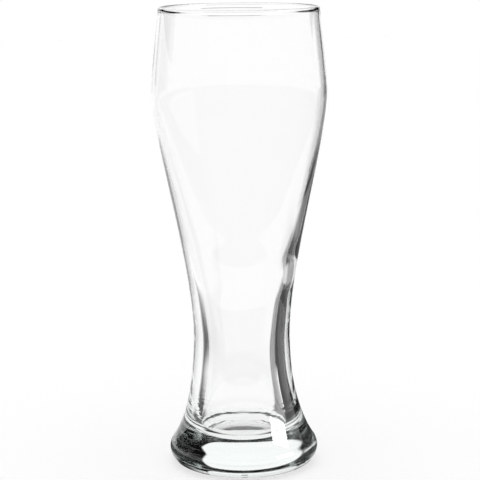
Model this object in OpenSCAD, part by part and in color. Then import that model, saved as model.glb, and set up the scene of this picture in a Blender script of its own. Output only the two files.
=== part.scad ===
// Weizen glass: a tall half-litre wheat-beer glass, one piece of clear soda-lime glass.
// It stands on z = 0 with its mouth up, and the z axis runs through its middle.
// One closed outline, turned once round the axis, holds the outside, the lip, the cavity
// and the hollow under the foot. Radii are half of the named diameters.

/* [Overall] */
// Height of the glass from the table to the crown of the lip
glass_h = 216; // [208:1:236]

/* [Lip] */
// Outside diameter of the glass just under the lip
lip_d = 74.4; // [72:0.2:77]
// Thickness of the rounded, flame-polished lip
lip_t = 1.9; // [1.7:0.1:2.5]
// Depth below the crown at which the bead of the lip has run out into the wall
bead_h = 2.4; // [2:0.2:6]
// Inward lean of the wall below the lip, in degrees
lip_lean = 6; // [4:0.5:8]

/* [Bowl] */
// Widest outside diameter of the bowl, at the belly
belly_d = 81.4; // [79:0.2:85]
// Height of the belly above the table
belly_h = 178; // [168:0.5:184]
// Thickness of the wall from the lip down to the belly
bowl_t = 1.25; // [1:0.05:1.6]

/* [Waist] */
// Narrowest outside diameter of the glass, at the waist
waist_d = 45.6; // [43:0.2:50]
// Height of the waist above the table
waist_h = 62.5; // [56:0.5:70]

/* [Foot] */
// Widest outside diameter of the foot
foot_d = 70.4; // [67:0.2:74]
// Radius of the rounded edge of the foot
heel_r = 7.5; // [6:0.1:9]
// Outward lean of the flare where it runs into the rounded edge, in degrees
flare_lean = 35.4; // [30:0.2:42]

/* [Cavity] */
// Narrowest inside diameter of the cavity, in the stem
throat_d = 31.8; // [29:0.2:34]
// Height of the throat above the table
throat_h = 54; // [48:0.5:60]
// Widest inside diameter of the well under the throat
well_d = 41; // [37:0.2:43]
// Radius of the rounded corner between the well and its floor
well_r = 5.9; // [3:0.1:8]
// Thickness of the solid glass between the cavity's floor and the table
floor_t = 13.8; // [12:0.2:20]
// Rise of the cavity's floor from its rounded corner to its middle
floor_rise = 1.5; // [0.2:0.1:2.5]

/* [Underside] */
// Width of the flat ring that the glass stands on, between the hollow and the rounded edge
ring_w = 5.1; // [2.5:0.1:7]
// Height of the hollow in the middle of the underside
punt_h = 1.8; // [1:0.1:4]

/* [Hidden] */

// Steps along each curved stretch of the outline, and round the axis
curve_steps = 18;
arc_steps = 8;
dome_steps = 8;
turn_steps = 96;

// Handle lengths of the curves, as shares of the height between their ends
flare_low_share = 0.13;
flare_high_share = 0.6;
side_low_share = 0.29;
side_high_share = 0.2;
shoulder_low_share = 0.16;
shoulder_high_share = 0.29;
inside_high_share = 0.24;
inside_low_share = 0.3;
well_high_share = 0.48;
well_low_share = 0.08;

function upright(p, rise) = p + [0, rise];
function along(p, reach, direction) = p + reach * direction;

// Point at share t of the cubic curve with ends a, d and handles b, c
function on_curve(a, b, c, d, t) =
    pow(1 - t, 3) * a + 3 * t * pow(1 - t, 2) * b + 3 * t * t * (1 - t) * c + pow(t, 3) * d;

// A curve and an arc leave out their first point, so that stretches join with no point twice
function curve(a, b, c, d) =
    [for (i = [1:curve_steps]) on_curve(a, b, c, d, i / curve_steps)];

function arc(centre, r, from, to) =
    [for (i = [1:arc_steps]) let (a = from + (to - from) * i / arc_steps) centre + r * [cos(a), sin(a)]];

// Height of a shallow dome of a given rise above its edge, at distance x from its middle
function dome_z(edge, rise, x) =
    let (r = (edge * edge + rise * rise) / (2 * rise)) sqrt(r * r - x * x) + rise - r;

// Direction of a wall that leans inwards by a given angle, going up
function wall_up(lean) = [-sin(lean), cos(lean)];

// Outside, from the ring on the table up to the crown of the lip
heel_c = [foot_d / 2 - heel_r, heel_r];
heel_top = heel_c + heel_r * [cos(flare_lean), sin(flare_lean)];
waist = [waist_d / 2, waist_h];
belly = [belly_d / 2, belly_h];
lip_r = lip_t / 2;
lip_c = [lip_d / 2 - lip_r, glass_h - lip_r];
lip_out = lip_c + lip_r * [cos(lip_lean), sin(lip_lean)];

flare_h = waist[1] - heel_top[1];
side_h = belly_h - waist_h;
shoulder_h = lip_out[1] - belly_h;

function outside() = concat(
    [[heel_c[0], 0]],
    arc(heel_c, heel_r, -90, flare_lean),
    curve(heel_top, along(heel_top, flare_low_share * flare_h, wall_up(flare_lean)),
        upright(waist, -flare_high_share * flare_h), waist),
    curve(waist, upright(waist, side_low_share * side_h),
        upright(belly, -side_high_share * side_h), belly),
    curve(belly, upright(belly, shoulder_low_share * shoulder_h),
        along(lip_out, -shoulder_high_share * shoulder_h, wall_up(lip_lean)), lip_out),
    arc(lip_c, lip_r, lip_lean, 90));

// Inside, from the lip down to the middle of the cavity's floor
lip_in = lip_c - lip_r * [cos(lip_lean), sin(lip_lean)];
bead_end = [lip_d / 2 + (bead_h - lip_r) * tan(lip_lean) - bowl_t, glass_h - bead_h];
belly_in = [belly_d / 2 - bowl_t, belly_h];
throat = [throat_d / 2, throat_h];
well = [well_d / 2, floor_t + well_r];
well_c = [well_d / 2 - well_r, floor_t + well_r];
floor_edge = well_c[0];

bead_run = lip_in[1] - bead_end[1];
inner_shoulder_h = bead_end[1] - belly_h;
inside_h = belly_h - throat_h;
well_h = throat_h - well[1];

function inside() = concat(
    arc(lip_c, lip_r, 90, 180 + lip_lean),
    curve(lip_in, along(lip_in, -shoulder_low_share * bead_run, wall_up(lip_lean)),
        along(bead_end, shoulder_high_share * bead_run, wall_up(lip_lean)), bead_end),
    curve(bead_end, along(bead_end, -shoulder_high_share * inner_shoulder_h, wall_up(lip_lean)),
        upright(belly_in, shoulder_low_share * inner_shoulder_h), belly_in),
    curve(belly_in, upright(belly_in, -inside_high_share * inside_h),
        upright(throat, inside_low_share * inside_h), throat),
    curve(throat, upright(throat, -well_high_share * well_h),
        upright(well, well_low_share * well_h), well),
    arc(well_c, well_r, 0, -90),
    [for (i = [1:dome_steps]) let (x = floor_edge * (1 - i / dome_steps))
        [x, floor_t + dome_z(floor_edge, floor_rise, x)]]);

// Hollow under the foot, from the axis out to the ring on the table
punt_edge = heel_c[0] - ring_w;

function underside() =
    [for (i = [0:dome_steps]) let (x = punt_edge * i / dome_steps) [x, dome_z(punt_edge, punt_h, x)]];

module glass() {
    color([0.84, 0.9, 0.88, 0.45])
        rotate_extrude($fn = turn_steps)
            polygon(concat(underside(), outside(), inside()));
}

glass();
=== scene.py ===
import math

import bpy
from mathutils import Matrix, Vector


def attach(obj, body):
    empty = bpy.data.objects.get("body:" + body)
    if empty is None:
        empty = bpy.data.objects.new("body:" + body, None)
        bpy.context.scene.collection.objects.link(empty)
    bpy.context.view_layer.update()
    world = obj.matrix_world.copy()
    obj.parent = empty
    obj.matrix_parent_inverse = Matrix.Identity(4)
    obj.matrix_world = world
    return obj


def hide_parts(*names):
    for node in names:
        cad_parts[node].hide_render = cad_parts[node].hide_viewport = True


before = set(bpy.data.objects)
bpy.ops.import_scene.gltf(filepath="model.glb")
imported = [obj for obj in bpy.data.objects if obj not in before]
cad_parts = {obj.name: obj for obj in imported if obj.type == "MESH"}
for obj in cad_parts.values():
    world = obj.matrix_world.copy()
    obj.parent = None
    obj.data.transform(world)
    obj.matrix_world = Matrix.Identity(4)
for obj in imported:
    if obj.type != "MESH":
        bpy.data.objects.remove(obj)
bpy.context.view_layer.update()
scene = bpy.context.scene
mm = 0.001


def node(tree, kind, **settings):
    made = tree.nodes.new(kind)
    for key, value in settings.items():
        setattr(made, key, value)
    return made


# a value is a plain number, a tuple or another node's output
def feed(tree, socket, value):
    if isinstance(value, bpy.types.NodeSocket):
        tree.links.new(value, socket)
    else:
        socket.default_value = value


def calc(tree, operation, *values):
    made = node(tree, "ShaderNodeMath", operation=operation)
    for socket, value in zip(made.inputs, values):
        feed(tree, socket, value)
    return made.outputs[0]


def product(tree, first, *others):
    for value in others:
        first = calc(tree, "MULTIPLY", first, value)
    return first


def most(tree, first, *others):
    for value in others:
        first = calc(tree, "MAXIMUM", first, value)
    return first


def smoothStep(tree, value, start, end):
    step = node(tree, "ShaderNodeMapRange", interpolation_type="SMOOTHSTEP")
    for name, given in (("Value", value), ("From Min", start), ("From Max", end)):
        feed(tree, step.inputs[name], given)
    return step.outputs["Result"]


def vectorCalc(tree, operation, vector, other=None):
    made = node(tree, "ShaderNodeVectorMath", operation=operation)
    feed(tree, made.inputs[0], vector)
    if other is not None:
        feed(tree, made.inputs[1], other)
    return made.outputs["Value" if operation == "LENGTH" else "Vector"]


def split(tree, vector):
    parts = node(tree, "ShaderNodeSeparateXYZ")
    tree.links.new(vector, parts.inputs[0])
    return parts.outputs["X"], parts.outputs["Y"], parts.outputs["Z"]


def join(tree, x, y, z=0.0):
    whole = node(tree, "ShaderNodeCombineXYZ")
    for socket, value in zip(whole.inputs, (x, y, z)):
        feed(tree, socket, value)
    return whole.outputs[0]


def newMaterial(name):
    mat = bpy.data.materials.new(name)
    mat.use_nodes = True
    mat.node_tree.nodes.clear()
    return mat, mat.node_tree, node(mat.node_tree, "ShaderNodeOutputMaterial")


def objectPlace(tree):
    return node(tree, "ShaderNodeTexCoord").outputs["Object"]


# millimetres and degrees; shares are the reach of a curve's two handles, start and end
glass = {
    "height": 216.0, "lipWidth": 74.4, "lipThick": 1.9, "beadRun": 2.4, "lipLean": 6.0,
    "bellyWidth": 81.4, "bellyHeight": 178.0, "wallThick": 1.25,
    "waistWidth": 45.6, "waistHeight": 62.5,
    "footWidth": 70.4, "heelRadius": 7.5, "flareLean": 35.4,
    "throatWidth": 31.8, "throatHeight": 54.0, "wellWidth": 41.0, "wellRadius": 5.9,
    "floorThick": 13.8, "floorRise": 1.5, "ringWidth": 5.1, "puntRise": 1.0,
    "flareShares": (0.13, 0.6), "sideShares": (0.29, 0.2), "shoulderShares": (0.16, 0.29),
    "insideShares": (0.24, 0.3), "wellShares": (0.48, 0.08),
    "puntSteps": 24, "ringSteps": 4, "heelSteps": 26, "flareSteps": 32, "sideSteps": 44,
    "shoulderSteps": 14, "lipSteps": 24, "beadSteps": 10, "insideSteps": 52, "wellSteps": 26,
    "cornerSteps": 16, "floorSteps": 20, "turnSteps": 320, "mergeWithin": 0.002,
    # the inner wall's slight wave, on one side; it begins at this share of the outline's points
    "settleHeight": 93.0, "settleDepth": 0.55, "settleRun": 9.0, "settleFrom": 0.58,
    # the foot sits a little off the bowl's axis
    "footShift": 0.5, "shiftFrom": 45.0, "shiftTo": 12.0,
    "rippleHeight": 0.035, "rippleSize": 9.0, "rippleSeed": 4.0, "rippleStretch": 0.6,
    "rippleAbove": 1.0,
}


def curve(start, startWay, end, endWay, shares, steps):
    run = abs(end.y - start.y)
    a, b = start, start + shares[0] * run * startWay
    c, d = end - shares[1] * run * endWay, end
    points = []
    for i in range(1, steps + 1):
        t = i / steps
        points.append(a * (1 - t) ** 3 + b * 3 * t * (1 - t) ** 2
                      + c * 3 * t * t * (1 - t) + d * t ** 3)
    return points


def spoke(degrees):
    return Vector((math.cos(math.radians(degrees)), math.sin(math.radians(degrees))))


def arc(centre, radius, start, end, steps):
    return [centre + radius * spoke(start + (end - start) * i / steps)
            for i in range(1, steps + 1)]


def domeHeight(edge, rise, x):
    r = (edge * edge + rise * rise) / (2 * rise)
    return math.sqrt(r * r - x * x) + rise - r


# from the middle of the underside, up the outside, over the lip and down to the cavity's floor
def glassOutline(g):
    up = Vector((0.0, 1.0))
    lipUp, flareUp = spoke(90 + g["lipLean"]), spoke(90 + g["flareLean"])
    heel = Vector((g["footWidth"] / 2 - g["heelRadius"], g["heelRadius"]))
    heelTop = heel + g["heelRadius"] * spoke(g["flareLean"])
    waist = Vector((g["waistWidth"] / 2, g["waistHeight"]))
    belly = Vector((g["bellyWidth"] / 2, g["bellyHeight"]))
    lipR = g["lipThick"] / 2
    lip = Vector((g["lipWidth"] / 2 - lipR, g["height"] - lipR))
    lipOut, lipIn = lip + lipR * spoke(g["lipLean"]), lip - lipR * spoke(g["lipLean"])
    beadLean = (g["beadRun"] - lipR) * math.tan(math.radians(g["lipLean"]))
    beadEnd = Vector((g["lipWidth"] / 2 + beadLean - g["wallThick"], g["height"] - g["beadRun"]))
    bellyIn = belly - Vector((g["wallThick"], 0.0))
    throat = Vector((g["throatWidth"] / 2, g["throatHeight"]))
    corner = Vector((g["wellWidth"] / 2 - g["wellRadius"], g["floorThick"] + g["wellRadius"]))
    well = corner + Vector((g["wellRadius"], 0.0))
    puntEdge = heel.x - g["ringWidth"]
    shoulder = g["shoulderShares"]

    outline = []
    for i in range(g["puntSteps"] + 1):
        x = puntEdge * i / g["puntSteps"]
        outline.append(Vector((x, domeHeight(puntEdge, g["puntRise"], x))))
    for i in range(1, g["ringSteps"] + 1):
        outline.append(Vector((puntEdge + g["ringWidth"] * i / g["ringSteps"], 0.0)))
    outline += arc(heel, g["heelRadius"], -90, g["flareLean"], g["heelSteps"])
    outline += curve(heelTop, flareUp, waist, up, g["flareShares"], g["flareSteps"])
    outline += curve(waist, up, belly, up, g["sideShares"], g["sideSteps"])
    outline += curve(belly, up, lipOut, lipUp, shoulder, g["shoulderSteps"])
    outline += arc(lip, lipR, g["lipLean"], 180 + g["lipLean"], g["lipSteps"])
    outline += curve(lipIn, -lipUp, beadEnd, -lipUp, shoulder, g["beadSteps"])
    outline += curve(beadEnd, -lipUp, bellyIn, -up, shoulder[::-1], g["shoulderSteps"])
    outline += curve(bellyIn, -up, throat, -up, g["insideShares"], g["insideSteps"])
    outline += curve(throat, -up, well, -up, g["wellShares"], g["wellSteps"])
    outline += arc(corner, g["wellRadius"], 0, -90, g["cornerSteps"])
    for i in range(1, g["floorSteps"] + 1):
        x = corner.x * (1 - i / g["floorSteps"])
        outline.append(Vector((x, g["floorThick"] + domeHeight(corner.x, g["floorRise"], x))))
    return outline


clear = {
    "ior": 1.52, "tint": (0.80, 0.875, 0.85, 1.0), "density": 7.0,
    # the ring that stands on the table is scuffed
    "scuffHeight": 0.0004, "scuffRoughness": 0.22, "scuffSize": 900.0,
    "microSize": 420.0, "microHeight": 0.000002,
    # fine level marks where the foot chilled against its mould
    "markStretch": (10.0, 10.0, 480.0), "markTop": (0.04, 0.028), "markLow": (0.0104, 0.0169),
    "markWidth": 0.0215, "markHeight": 0.00007,
}


def noise(tree, vector, scale, detail):
    made = node(tree, "ShaderNodeTexNoise")
    for name, value in (("Vector", vector), ("Scale", scale), ("Detail", detail)):
        feed(tree, made.inputs[name], value)
    return made.outputs["Fac"]


def glassMaterial(c):
    mat, tree, out = newMaterial("clearGlass")
    shader = node(tree, "ShaderNodeBsdfPrincipled")
    shader.inputs["Base Color"].default_value = (1, 1, 1, 1)
    shader.inputs["Transmission Weight"].default_value = 1.0
    shader.inputs["Metallic"].default_value = 0.0
    shader.inputs["IOR"].default_value = c["ior"]
    place = objectPlace(tree)
    x, y, z = split(tree, place)

    scuffed = calc(tree, "LESS_THAN", z, c["scuffHeight"])
    grain = noise(tree, place, c["scuffSize"], 2.0)
    rough = product(tree, grain, c["scuffRoughness"], scuffed)
    tree.links.new(rough, shader.inputs["Roughness"])

    micro = noise(tree, place, c["microSize"], 1.0)
    marks = noise(tree, vectorCalc(tree, "MULTIPLY", place, c["markStretch"]), 1.0, 2.0)
    inside = calc(tree, "LESS_THAN", vectorCalc(tree, "LENGTH", join(tree, x, y)), c["markWidth"])
    marked = product(tree, marks, smoothStep(tree, z, *c["markTop"]),
                     smoothStep(tree, z, *c["markLow"]), inside, c["markHeight"])
    bump = node(tree, "ShaderNodeBump")
    bump.inputs["Distance"].default_value = 1.0
    bump.inputs["Strength"].default_value = 1.0
    tree.links.new(calc(tree, "MULTIPLY_ADD", micro, c["microHeight"], marked),
                   bump.inputs["Height"])
    tree.links.new(bump.outputs["Normal"], shader.inputs["Normal"])

    body = node(tree, "ShaderNodeVolumeAbsorption")
    body.inputs["Color"].default_value = c["tint"]
    body.inputs["Density"].default_value = c["density"]
    tree.links.new(shader.outputs["BSDF"], out.inputs["Surface"])
    tree.links.new(body.outputs["Volume"], out.inputs["Volume"])
    return mat


def turnInputs(g, finish):
    lengths = {
        "Merge Within": "mergeWithin",
        "Ripple Height": "rippleHeight", "Ripple Size": "rippleSize", "Ripple Above": "rippleAbove",
        "Settle Height": "settleHeight", "Settle Depth": "settleDepth", "Settle Run": "settleRun",
        "Foot Shift": "footShift", "Shift From": "shiftFrom", "Shift To": "shiftTo",
    }
    inputs = [("Turn Steps", "NodeSocketInt", g["turnSteps"]),
              ("Ripple Seed", "NodeSocketFloat", g["rippleSeed"]),
              ("Ripple Stretch", "NodeSocketFloat", g["rippleStretch"]),
              ("Settle From", "NodeSocketFloat", g["settleFrom"]),
              ("Finish", "NodeSocketMaterial", finish)]
    return inputs + [(name, "NodeSocketFloat", g[key] * mm) for name, key in lengths.items()]


def turnTree(inputs):
    tree = bpy.data.node_groups.new("turnOutline", "GeometryNodeTree")
    tree.interface.new_socket(name="Outline", in_out="INPUT", socket_type="NodeSocketGeometry")
    for name, kind, value in inputs:
        tree.interface.new_socket(name=name, in_out="INPUT", socket_type=kind)
    tree.interface.new_socket(name="Turned", in_out="OUTPUT", socket_type="NodeSocketGeometry")
    link = tree.links.new
    given = node(tree, "NodeGroupInput").outputs
    position = node(tree, "GeometryNodeInputPosition").outputs[0]

    # a grid row is one point of the outline, a grid column one step of the turn
    count = node(tree, "GeometryNodeAttributeDomainSize", component="MESH")
    link(given["Outline"], count.inputs[0])
    grid = node(tree, "GeometryNodeMeshGrid")
    for name, value in (("Size X", 1.0), ("Size Y", 1.0),
                        ("Vertices X", count.outputs["Point Count"]),
                        ("Vertices Y", calc(tree, "ADD", given["Turn Steps"], 1))):
        feed(tree, grid.inputs[name], value)
    across, along, level = split(tree, position)
    last = calc(tree, "SUBTRACT", count.outputs["Point Count"], 1)
    row = calc(tree, "ROUND", product(tree, calc(tree, "ADD", across, 0.5), last))
    angle = product(tree, calc(tree, "ADD", along, 0.5), 2 * math.pi)
    pick = node(tree, "GeometryNodeSampleIndex", data_type="FLOAT_VECTOR", domain="POINT")
    link(given["Outline"], pick.inputs["Geometry"])
    link(position, pick.inputs["Value"])
    link(row, pick.inputs["Index"])
    reach, height = split(tree, pick.outputs[0])[::2]

    # the wall settled a little while it was soft, only to one side: thicker above, thinner below
    rise = calc(tree, "DIVIDE", calc(tree, "SUBTRACT", height, given["Settle Height"]),
                given["Settle Run"])
    bell = calc(tree, "EXPONENT", calc(tree, "SUBTRACT", 0.5, product(tree, rise, rise)))
    toOneSide = calc(tree, "MULTIPLY_ADD", calc(tree, "COSINE", angle), 0.5, 0.5)
    inner = calc(tree, "GREATER_THAN", row, product(tree, last, given["Settle From"]))
    settle = product(tree, rise, bell, toOneSide, inner, given["Settle Depth"])
    radius = calc(tree, "SUBTRACT", reach, settle)
    shift = smoothStep(tree, height, given["Shift From"], given["Shift To"])
    aside = product(tree, shift, given["Foot Shift"])
    x = calc(tree, "MULTIPLY_ADD", radius, calc(tree, "COSINE", angle), aside)
    y = product(tree, radius, calc(tree, "SINE", angle))
    revolve = node(tree, "GeometryNodeSetPosition")
    link(grid.outputs["Mesh"], revolve.inputs["Geometry"])
    link(join(tree, x, y, height), revolve.inputs["Position"])
    merge = node(tree, "GeometryNodeMergeByDistance")
    link(revolve.outputs[0], merge.inputs["Geometry"])
    link(given["Merge Within"], merge.inputs["Distance"])
    outwards = node(tree, "GeometryNodeFlipFaces")
    link(merge.outputs[0], outwards.inputs[0])

    # the faint waviness of glass shaped in a mould; it only ever takes glass away
    ripple = node(tree, "ShaderNodeTexNoise", noise_dimensions="4D")
    stretch = join(tree, 1.0, 1.0, given["Ripple Stretch"])
    for name, value in (("Vector", vectorCalc(tree, "MULTIPLY", position, stretch)),
                        ("W", given["Ripple Seed"]), ("Detail", 1.0),
                        ("Scale", calc(tree, "DIVIDE", 1.0, given["Ripple Size"]))):
        feed(tree, ripple.inputs[name], value)
    push = node(tree, "ShaderNodeVectorMath", operation="SCALE")
    link(node(tree, "GeometryNodeInputNormal").outputs[0], push.inputs[0])
    link(product(tree, ripple.outputs["Fac"], given["Ripple Height"], -1.0), push.inputs["Scale"])
    wave = node(tree, "GeometryNodeSetPosition")
    link(outwards.outputs[0], wave.inputs["Geometry"])
    link(calc(tree, "GREATER_THAN", level, given["Ripple Above"]), wave.inputs["Selection"])
    link(push.outputs[0], wave.inputs["Offset"])

    smooth = node(tree, "GeometryNodeSetShadeSmooth")
    link(wave.outputs[0], smooth.inputs["Geometry"])
    real = node(tree, "GeometryNodeRealizeInstances")
    link(smooth.outputs[0], real.inputs[0])
    dressed = node(tree, "GeometryNodeSetMaterial")
    link(real.outputs[0], dressed.inputs["Geometry"])
    link(given["Finish"], dressed.inputs["Material"])
    link(dressed.outputs[0], node(tree, "NodeGroupOutput").inputs["Turned"])
    return tree


def turnGlass(g, finish):
    outline = glassOutline(g)
    mesh = bpy.data.meshes.new("glassOutline")
    mesh.from_pydata([(p.x * mm, 0.0, p.y * mm) for p in outline],
                     [(i, i + 1) for i in range(len(outline) - 1)], [])
    blank = bpy.data.objects.new("glassOutline", mesh)
    scene.collection.objects.link(blank)
    inputs = turnInputs(g, finish)
    turn = blank.modifiers.new("turn", "NODES")
    turn.node_group = turnTree(inputs)
    identifiers = {item.name: item.identifier for item in turn.node_group.interface.items_tree}
    for name, kind, value in inputs:
        turn[identifiers[name]] = value
    bpy.context.view_layer.update()
    ready = blank.evaluated_get(bpy.context.evaluated_depsgraph_get())
    solid = bpy.data.meshes.new_from_object(ready)
    blank.modifiers.clear()
    bpy.data.objects.remove(blank)
    solid.name = "weizenGlass"
    piece = bpy.data.objects.new("weizenGlass", solid)
    scene.collection.objects.link(piece)
    return piece


piece = turnGlass(glass, glassMaterial(clear))
print("glass:", len(piece.data.vertices), "points,", len(piece.data.polygons), "faces,",
      [round(v, 5) for v in piece.dimensions])
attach(piece, "root")
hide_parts("glass")


# place in millimetres, angles in degrees
view = {"place": (-0.44, -782.576, 254.274), "down": 10.649, "roll": 0.537, "lens": 127.2,
        "sensor": 36.0, "clipStart": 0.01}


def makeCamera(v):
    data = bpy.data.cameras.new("camera")
    data.sensor_width = v["sensor"]
    data.lens = v["lens"]
    data.clip_start = v["clipStart"]
    made = bpy.data.objects.new("camera", data)
    scene.collection.objects.link(made)
    down, roll = math.radians(v["down"]), math.radians(v["roll"])
    forward = Vector((0, math.cos(down), -math.sin(down)))
    right = Vector((1, 0, 0))
    up = right.cross(forward)
    side = math.cos(roll) * right - math.sin(roll) * up
    top = math.sin(roll) * right + math.cos(roll) * up
    turn = Matrix((side, top, -forward)).transposed().to_4x4()
    made.matrix_world = Matrix.Translation(Vector(v["place"]) * mm) @ turn
    scene.camera = made
    return made


camera = makeCamera(view)
bpy.context.view_layer.update()
print("camera at", [round(c, 4) for c in camera.location])


# The studio. Its screen, walls, mat and cards show only in the glass; the camera sees a white
# room. Lengths are metres, angles are degrees round the glass or above the table.
def seenInGlass(tree):
    ray = node(tree, "ShaderNodeLightPath").outputs
    both = most(tree, ray["Is Glossy Ray"], ray["Is Transmission Ray"])
    return product(tree, both, calc(tree, "LESS_THAN", ray["Diffuse Depth"], 0.5))


# 1 for a ray that has met so many glass surfaces, else 0
def met(tree, least, greatest):
    depth = node(tree, "ShaderNodeLightPath").outputs["Ray Depth"]
    return product(tree, calc(tree, "GREATER_THAN", depth, least - 0.5),
                   calc(tree, "LESS_THAN", depth, greatest + 0.5))


def bearing(tree, x, y):
    return product(tree, calc(tree, "ARCTAN2", x, y), 180 / math.pi)


def emission(tree, strength=1.0):
    glow = node(tree, "ShaderNodeEmission")
    glow.inputs["Color"].default_value = (1, 1, 1, 1)
    feed(tree, glow.inputs["Strength"], strength)
    return glow.outputs[0]


def mixed(tree, share, off, on):
    mix = node(tree, "ShaderNodeMixShader")
    for socket, value in zip(mix.inputs, (share, off, on)):
        tree.links.new(value, socket)
    return mix.outputs[0]


def showInGlass(tree, out, strength, shown):
    passing = node(tree, "ShaderNodeBsdfTransparent").outputs[0]
    tree.links.new(mixed(tree, product(tree, seenInGlass(tree), shown), passing,
                         emission(tree, strength)), out.inputs["Surface"])


def stageMesh(name, points, faces, finish):
    mesh = bpy.data.meshes.new(name)
    mesh.from_pydata(points, [], faces)
    mesh.materials.append(finish)
    made = bpy.data.objects.new(name, mesh)
    scene.collection.objects.link(made)
    return made


def bentScreen(b, finish, around=48, up=40):
    (left, right), (low, top) = b["turn"], b["rise"]
    points, faces = [], []
    for i in range(around + 1):
        a = math.radians(left + (right - left) * i / around)
        for k in range(up + 1):
            e = math.radians(low + (top - low) * k / up)
            points.append((b["radius"] * math.sin(a) * math.cos(e),
                           b["radius"] * math.cos(a) * math.cos(e), b["radius"] * math.sin(e)))
    for i in range(around):
        for k in range(up):
            p = i * (up + 1) + k
            faces.append((p, p + 1, p + up + 2, p + up + 1))
    return stageMesh(b["name"], points, faces, finish)


# the studio stays where it is in the picture when the glass is seen from another side
def holdToCamera(made, seenByCamera=False):
    made.parent = camera
    made.matrix_parent_inverse = camera.matrix_world.inverted()
    made.visible_camera = seenByCamera
    made.visible_diffuse = False
    made.visible_shadow = False
    made.visible_volume_scatter = False
    return made


sky = {"roomGlow": 0.005, "light": (0.55, 0.95), "sumSteps": 400}


# light from above only, as strong in all as an even sky
def makeWorld(s):
    world = bpy.data.worlds.new("studio")
    world.use_nodes = True
    tree = world.node_tree
    tree.nodes.clear()
    height = split(tree, node(tree, "ShaderNodeTexCoord").outputs["Generated"])[2]
    start, end = s["light"]
    total = 0.0
    for i in range(s["sumSteps"]):
        z = (i + 0.5) / s["sumSteps"]
        share = min(1.0, max(0.0, (z - start) / (end - start)))
        total += share * share * (3 - 2 * share) * 2 * z / s["sumSteps"]
    backgrounds = []
    for strength in (calc(tree, "DIVIDE", smoothStep(tree, height, start, end), total),
                     s["roomGlow"]):
        made = node(tree, "ShaderNodeBackground")
        made.inputs["Color"].default_value = (1, 1, 1, 1)
        feed(tree, made.inputs["Strength"], strength)
        backgrounds.append(made.outputs[0])
    out = node(tree, "ShaderNodeOutputWorld")
    tree.links.new(mixed(tree, seenInGlass(tree), *backgrounds), out.inputs["Surface"])
    scene.world = world


table = {
    "size": 14.0, "drop": 0.00002,
    # what the glass shows of the floor: its glow near and far, and where the one becomes the other
    "near": 0.985, "far": 0.99, "farFade": (0.05, 0.3),
    # the most glass surfaces a ray may have met to see it: anywhere, further out, behind the glass
    "seenTo": 6, "outerSeenTo": 7, "outerFrom": 0.2, "behindSeenTo": 8,
    # through the mouth the far floor is greyer
    "mouthShare": 0.28, "mouthFade": (1.2, 1.6),
    # to the camera this share of it is plain white, the rest takes light and shadow
    "white": 0.65,
}


def makeFloor(f):
    finish, tree, out = newMaterial("paleFloor")
    place = objectPlace(tree)
    away, y = vectorCalc(tree, "LENGTH", place), split(tree, place)[1]
    glow = calc(tree, "MULTIPLY_ADD", smoothStep(tree, away, *f["farFade"]),
                f["far"] - f["near"], f["near"])
    outer = product(tree, calc(tree, "GREATER_THAN", away, f["outerFrom"]),
                    met(tree, 0, f["outerSeenTo"]))
    behind = product(tree, calc(tree, "GREATER_THAN", y, 0.0), met(tree, 0, f["behindSeenTo"]))
    kept = most(tree, met(tree, 0, f["seenTo"]), behind, outer)
    mouth = product(tree, met(tree, 2, 2), f["mouthShare"],
                    smoothStep(tree, away, *f["mouthFade"]))
    lit = emission(tree, product(tree, glow, calc(tree, "SUBTRACT", kept, mouth)))
    cloth = node(tree, "ShaderNodeBsdfDiffuse")
    cloth.inputs["Color"].default_value = (1, 1, 1, 1)
    whitened = product(tree, node(tree, "ShaderNodeLightPath").outputs["Is Camera Ray"], f["white"])
    plain = mixed(tree, whitened, cloth.outputs[0], emission(tree))
    tree.links.new(mixed(tree, seenInGlass(tree), plain, lit), out.inputs["Surface"])
    half = f["size"] / 2
    made = stageMesh("floor", [(-half, -half, 0), (half, -half, 0), (half, half, 0),
                               (-half, half, 0)], [(0, 1, 2, 3)], finish)
    made.location.z = -f["drop"]


screen = {
    "name": "whiteScreen", "radius": 3.0, "turn": (-37.0, 22.0), "rise": (-35.0, 88.0),
    "glow": 1.1, "fade": [(3, 0.9), (14, 1.0), (43, 1.0), (49, 0.16), (76, 0.06)],
    "leftEnd": (-37.0, -33.0), "rightEnd": (22.0, 20.0),
    # painted dark lines in the lip: a narrow dark patch on the screen that only rays which have met
    # two or four glass surfaces see; its sides in degrees, its low and top edge as shares of the
    # radius
    "dark": {"left": (-2.0, -1.8), "right": (1.5, 1.3), "low": (0.045, 0.065),
             "top": (0.16, 0.13), "share": 0.9},
}


def makeScreen(s):
    finish, tree, out = newMaterial(s["name"])
    x, y, z = split(tree, objectPlace(tree))
    rise, turn = calc(tree, "DIVIDE", z, s["radius"]), bearing(tree, x, y)
    ramp = node(tree, "ShaderNodeValToRGB")
    stops = ramp.color_ramp.elements
    while len(stops) < len(s["fade"]):
        stops.new(1.0)
    for stop, (height, share) in zip(stops, s["fade"]):
        stop.position = math.sin(math.radians(height))
        stop.color = (share, share, share, 1)
    tree.links.new(rise, ramp.inputs[0])
    # the painted dark lines of the lip, only for rays that have met two or four glass surfaces
    d = s["dark"]
    dark = product(tree, calc(tree, "ADD", met(tree, 2, 2), met(tree, 4, 4)),
                   smoothStep(tree, turn, *d["left"]), smoothStep(tree, turn, *d["right"]),
                   smoothStep(tree, rise, *d["low"]), smoothStep(tree, rise, *d["top"]),
                   d["share"])
    strength = product(tree, ramp.outputs["Color"], s["glow"],
                       smoothStep(tree, turn, *s["leftEnd"]),
                       smoothStep(tree, turn, *s["rightEnd"]), calc(tree, "SUBTRACT", 1.0, dark))
    tree.links.new(mixed(tree, seenInGlass(tree), emission(tree), emission(tree, strength)),
                   out.inputs["Surface"])
    holdToCamera(bentScreen(s, finish), True)


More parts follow.
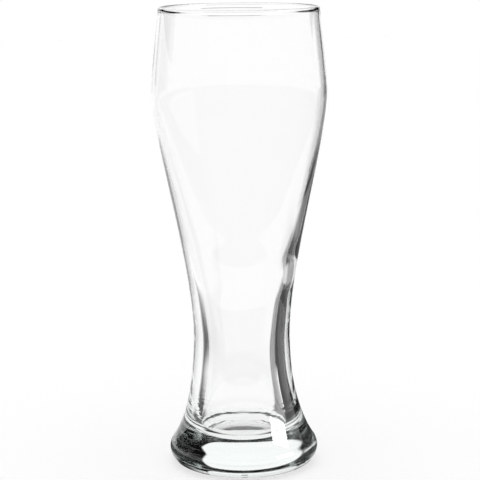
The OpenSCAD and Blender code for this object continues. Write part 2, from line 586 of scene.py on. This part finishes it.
# bands of white wall and paper round the glass; "met" is how many glass surfaces a ray has met
# at least and at most when it sees the band, "fade" where its glow begins to fall and ends
bands = [
    {"name": "softBox", "radius": 5.9, "turn": (95, 125), "rise": (12, 31), "glow": 22.0,
     "met": (0, 99)},
    {"name": "kneeWall", "radius": 6.0, "turn": (-180, 180), "rise": (-2, 4), "glow": 1.0,
     "met": (0, 6)},
    {"name": "wallLeft", "radius": 6.0, "turn": (280, 382), "rise": (4, 11.5), "glow": 1.0,
     "met": (3, 5)},
    {"name": "wallRight", "radius": 6.0, "turn": (24, 62), "rise": (4, 11.5), "glow": 1.0,
     "met": (4, 5)},
    {"name": "wallBehind", "radius": 6.0, "turn": (62, 280), "rise": (4, 22), "glow": 1.0,
     "met": (0, 4), "fade": (10, 21)},
    {"name": "highWall", "radius": 6.0, "turn": (60, 300), "rise": (4, 24), "glow": 1.0,
     "met": (5, 5)},
    {"name": "leftSheet", "radius": 0.35, "turn": (-110, -40), "rise": (42, 65), "glow": 0.8,
     "met": (5, 8)},
    {"name": "rightSheet", "radius": 0.35, "turn": (24, 110), "rise": (31, 65), "glow": 0.8,
     "met": (5, 8)},
]


def makeBand(b):
    finish, tree, out = newMaterial(b["name"])
    strength = b["glow"]
    if "fade" in b:
        full, none = (b["radius"] * math.sin(math.radians(e)) for e in b["fade"])
        height = split(tree, objectPlace(tree))[2]
        strength = product(tree, smoothStep(tree, height, none, full), b["glow"])
    showInGlass(tree, out, strength, met(tree, *b["met"]))
    return holdToCamera(bentScreen(b, finish))


# dark pieces are a little brighter for rays that have met this many glass surfaces or more
deep = {"met": (4, 99), "glow": 0.12}

# the dark mat round the glass, seen only in the glass: at the sides a dark mat, in front of the
# foot painted shade, the heel's contact shadow, from right under the heel; where it begins and is
# full, in degrees and metres from the glass
matAndHeelShade = {
    "inner": 0.03, "outer": 3.0, "steps": 72, "lift": 0.00005,
    "glow": 0.03, "pale": 0.25, "paleFade": (0.2, 0.26),
    "left": (-36, -54), "right": (18, 22), "rightEnd": (90, 70), "farEnd": (64, 46),
    "deepTurn": 7.0, "edge": (0.11, 0.08), "sideFrom": (0.04, 0.05), "heelShadeFrom": (95, 110),
}


def makeMatAndHeelShade(m):
    finish, tree, out = newMaterial("darkMatAndHeelShade")
    place = objectPlace(tree)
    x, y, z = split(tree, place)
    away, turn = vectorCalc(tree, "LENGTH", place), bearing(tree, x, y)
    deepRay = met(tree, *deep["met"])
    beyond = smoothStep(tree, away, *m["paleFade"])
    turned = calc(tree, "SUBTRACT", turn, product(tree, deepRay, m["deepTurn"]))
    right = smoothStep(tree, turned, *m["right"])
    sides = product(tree, most(tree, smoothStep(tree, turn, *m["left"]), right),
                    smoothStep(tree, away, *m["edge"]))
    end = product(tree, smoothStep(tree, turn, *m["rightEnd"]),
                  calc(tree, "SUBTRACT", 1.0, beyond))
    wide = product(tree, right, most(tree, end, smoothStep(tree, turn, *m["farEnd"])))
    # in front of the foot it begins right under the heel: painted shade, the heel's contact shadow
    # as seen in the glass
    begun = most(tree, smoothStep(tree, away, *m["sideFrom"]),
                 smoothStep(tree, calc(tree, "ABSOLUTE", turn), *m["heelShadeFrom"]))
    glow = calc(tree, "MULTIPLY_ADD", beyond, m["pale"], m["glow"])
    strength = calc(tree, "ADD", glow, product(tree, deepRay, deep["glow"], wide))
    showInGlass(tree, out, strength, product(tree, most(tree, sides, wide), begun))
    points, faces, steps = [], [], m["steps"]
    for i in range(steps):
        a = 2 * math.pi * i / steps
        points += [(r * math.sin(a), r * math.cos(a), m["lift"])
                   for r in (m["inner"], m["outer"])]
        faces.append((2 * i, 2 * i + 1, (2 * i + 3) % (2 * steps), (2 * i + 2) % (2 * steps)))
    holdToCamera(stageMesh("darkMatAndHeelShade", points, faces, finish))


# standing cards beside the glass, which draw its dark lines: two corners on the floor, low and
# top edge, glow near and far, and where the glow grows along the card ("fade") and up it ("thin")
cards = [
    {"name": "rightCard", "corners": [(0.09, 0.03), (0.09, 0.19)], "rise": (-0.05, 0.04),
     "near": 0.02, "far": 0.5, "fade": (0.12, 0.2), "thin": (0.05, 0.1), "met": (0, 9)},
    {"name": "leftCard", "corners": [(-0.105, -0.09), (-0.105, 0.14)], "rise": (-0.05, 0.034),
     "near": 0.02, "far": 1.13, "fade": (0.07, 0.14), "thin": (0.012, 0.034), "met": (2, 3)},
    {"name": "rightWall", "corners": [(0.088, 0.03), (0.088, 0.19)], "rise": (0.085, 0.165),
     "near": 0.02, "met": (2, 4)},
    {"name": "rightTop", "corners": [(0.088, 0.03), (0.088, 0.1)], "rise": (0.165, 0.8),
     "near": 0.02, "met": (0, 4)},
]


def makeCard(c):
    finish, tree, out = newMaterial(c["name"])
    glow = c["near"]
    if "fade" in c:
        x, y, z = split(tree, objectPlace(tree))
        light = most(tree, smoothStep(tree, y, *c["fade"]), smoothStep(tree, z, *c["thin"]))
        glow = calc(tree, "MULTIPLY_ADD", light, c["far"] - c["near"], c["near"])
    strength = calc(tree, "MULTIPLY_ADD", met(tree, *deep["met"]), deep["glow"], glow)
    showInGlass(tree, out, strength, met(tree, *c["met"]))
    points = [(x, y, z) for x, y in c["corners"] for z in c["rise"]]
    holdToCamera(stageMesh(c["name"], points, [(0, 1, 3, 2)], finish))


makeWorld(sky)
makeFloor(table)
makeScreen(screen)
for band in bands:
    madeBand = makeBand(band)
    if band["name"] == "softBox":
        madeBand.visible_transmission = False   # it shows only as a highlight
makeMatAndHeelShade(matAndHeelShade)
for card in cards:
    makeCard(card)

bounces = 32   # light in the solid foot is mirrored many times
scene.view_settings.view_transform = "Standard"
scene.cycles.max_bounces = bounces
scene.cycles.transmission_bounces = bounces
scene.cycles.glossy_bounces = bounces
print("studio ready")
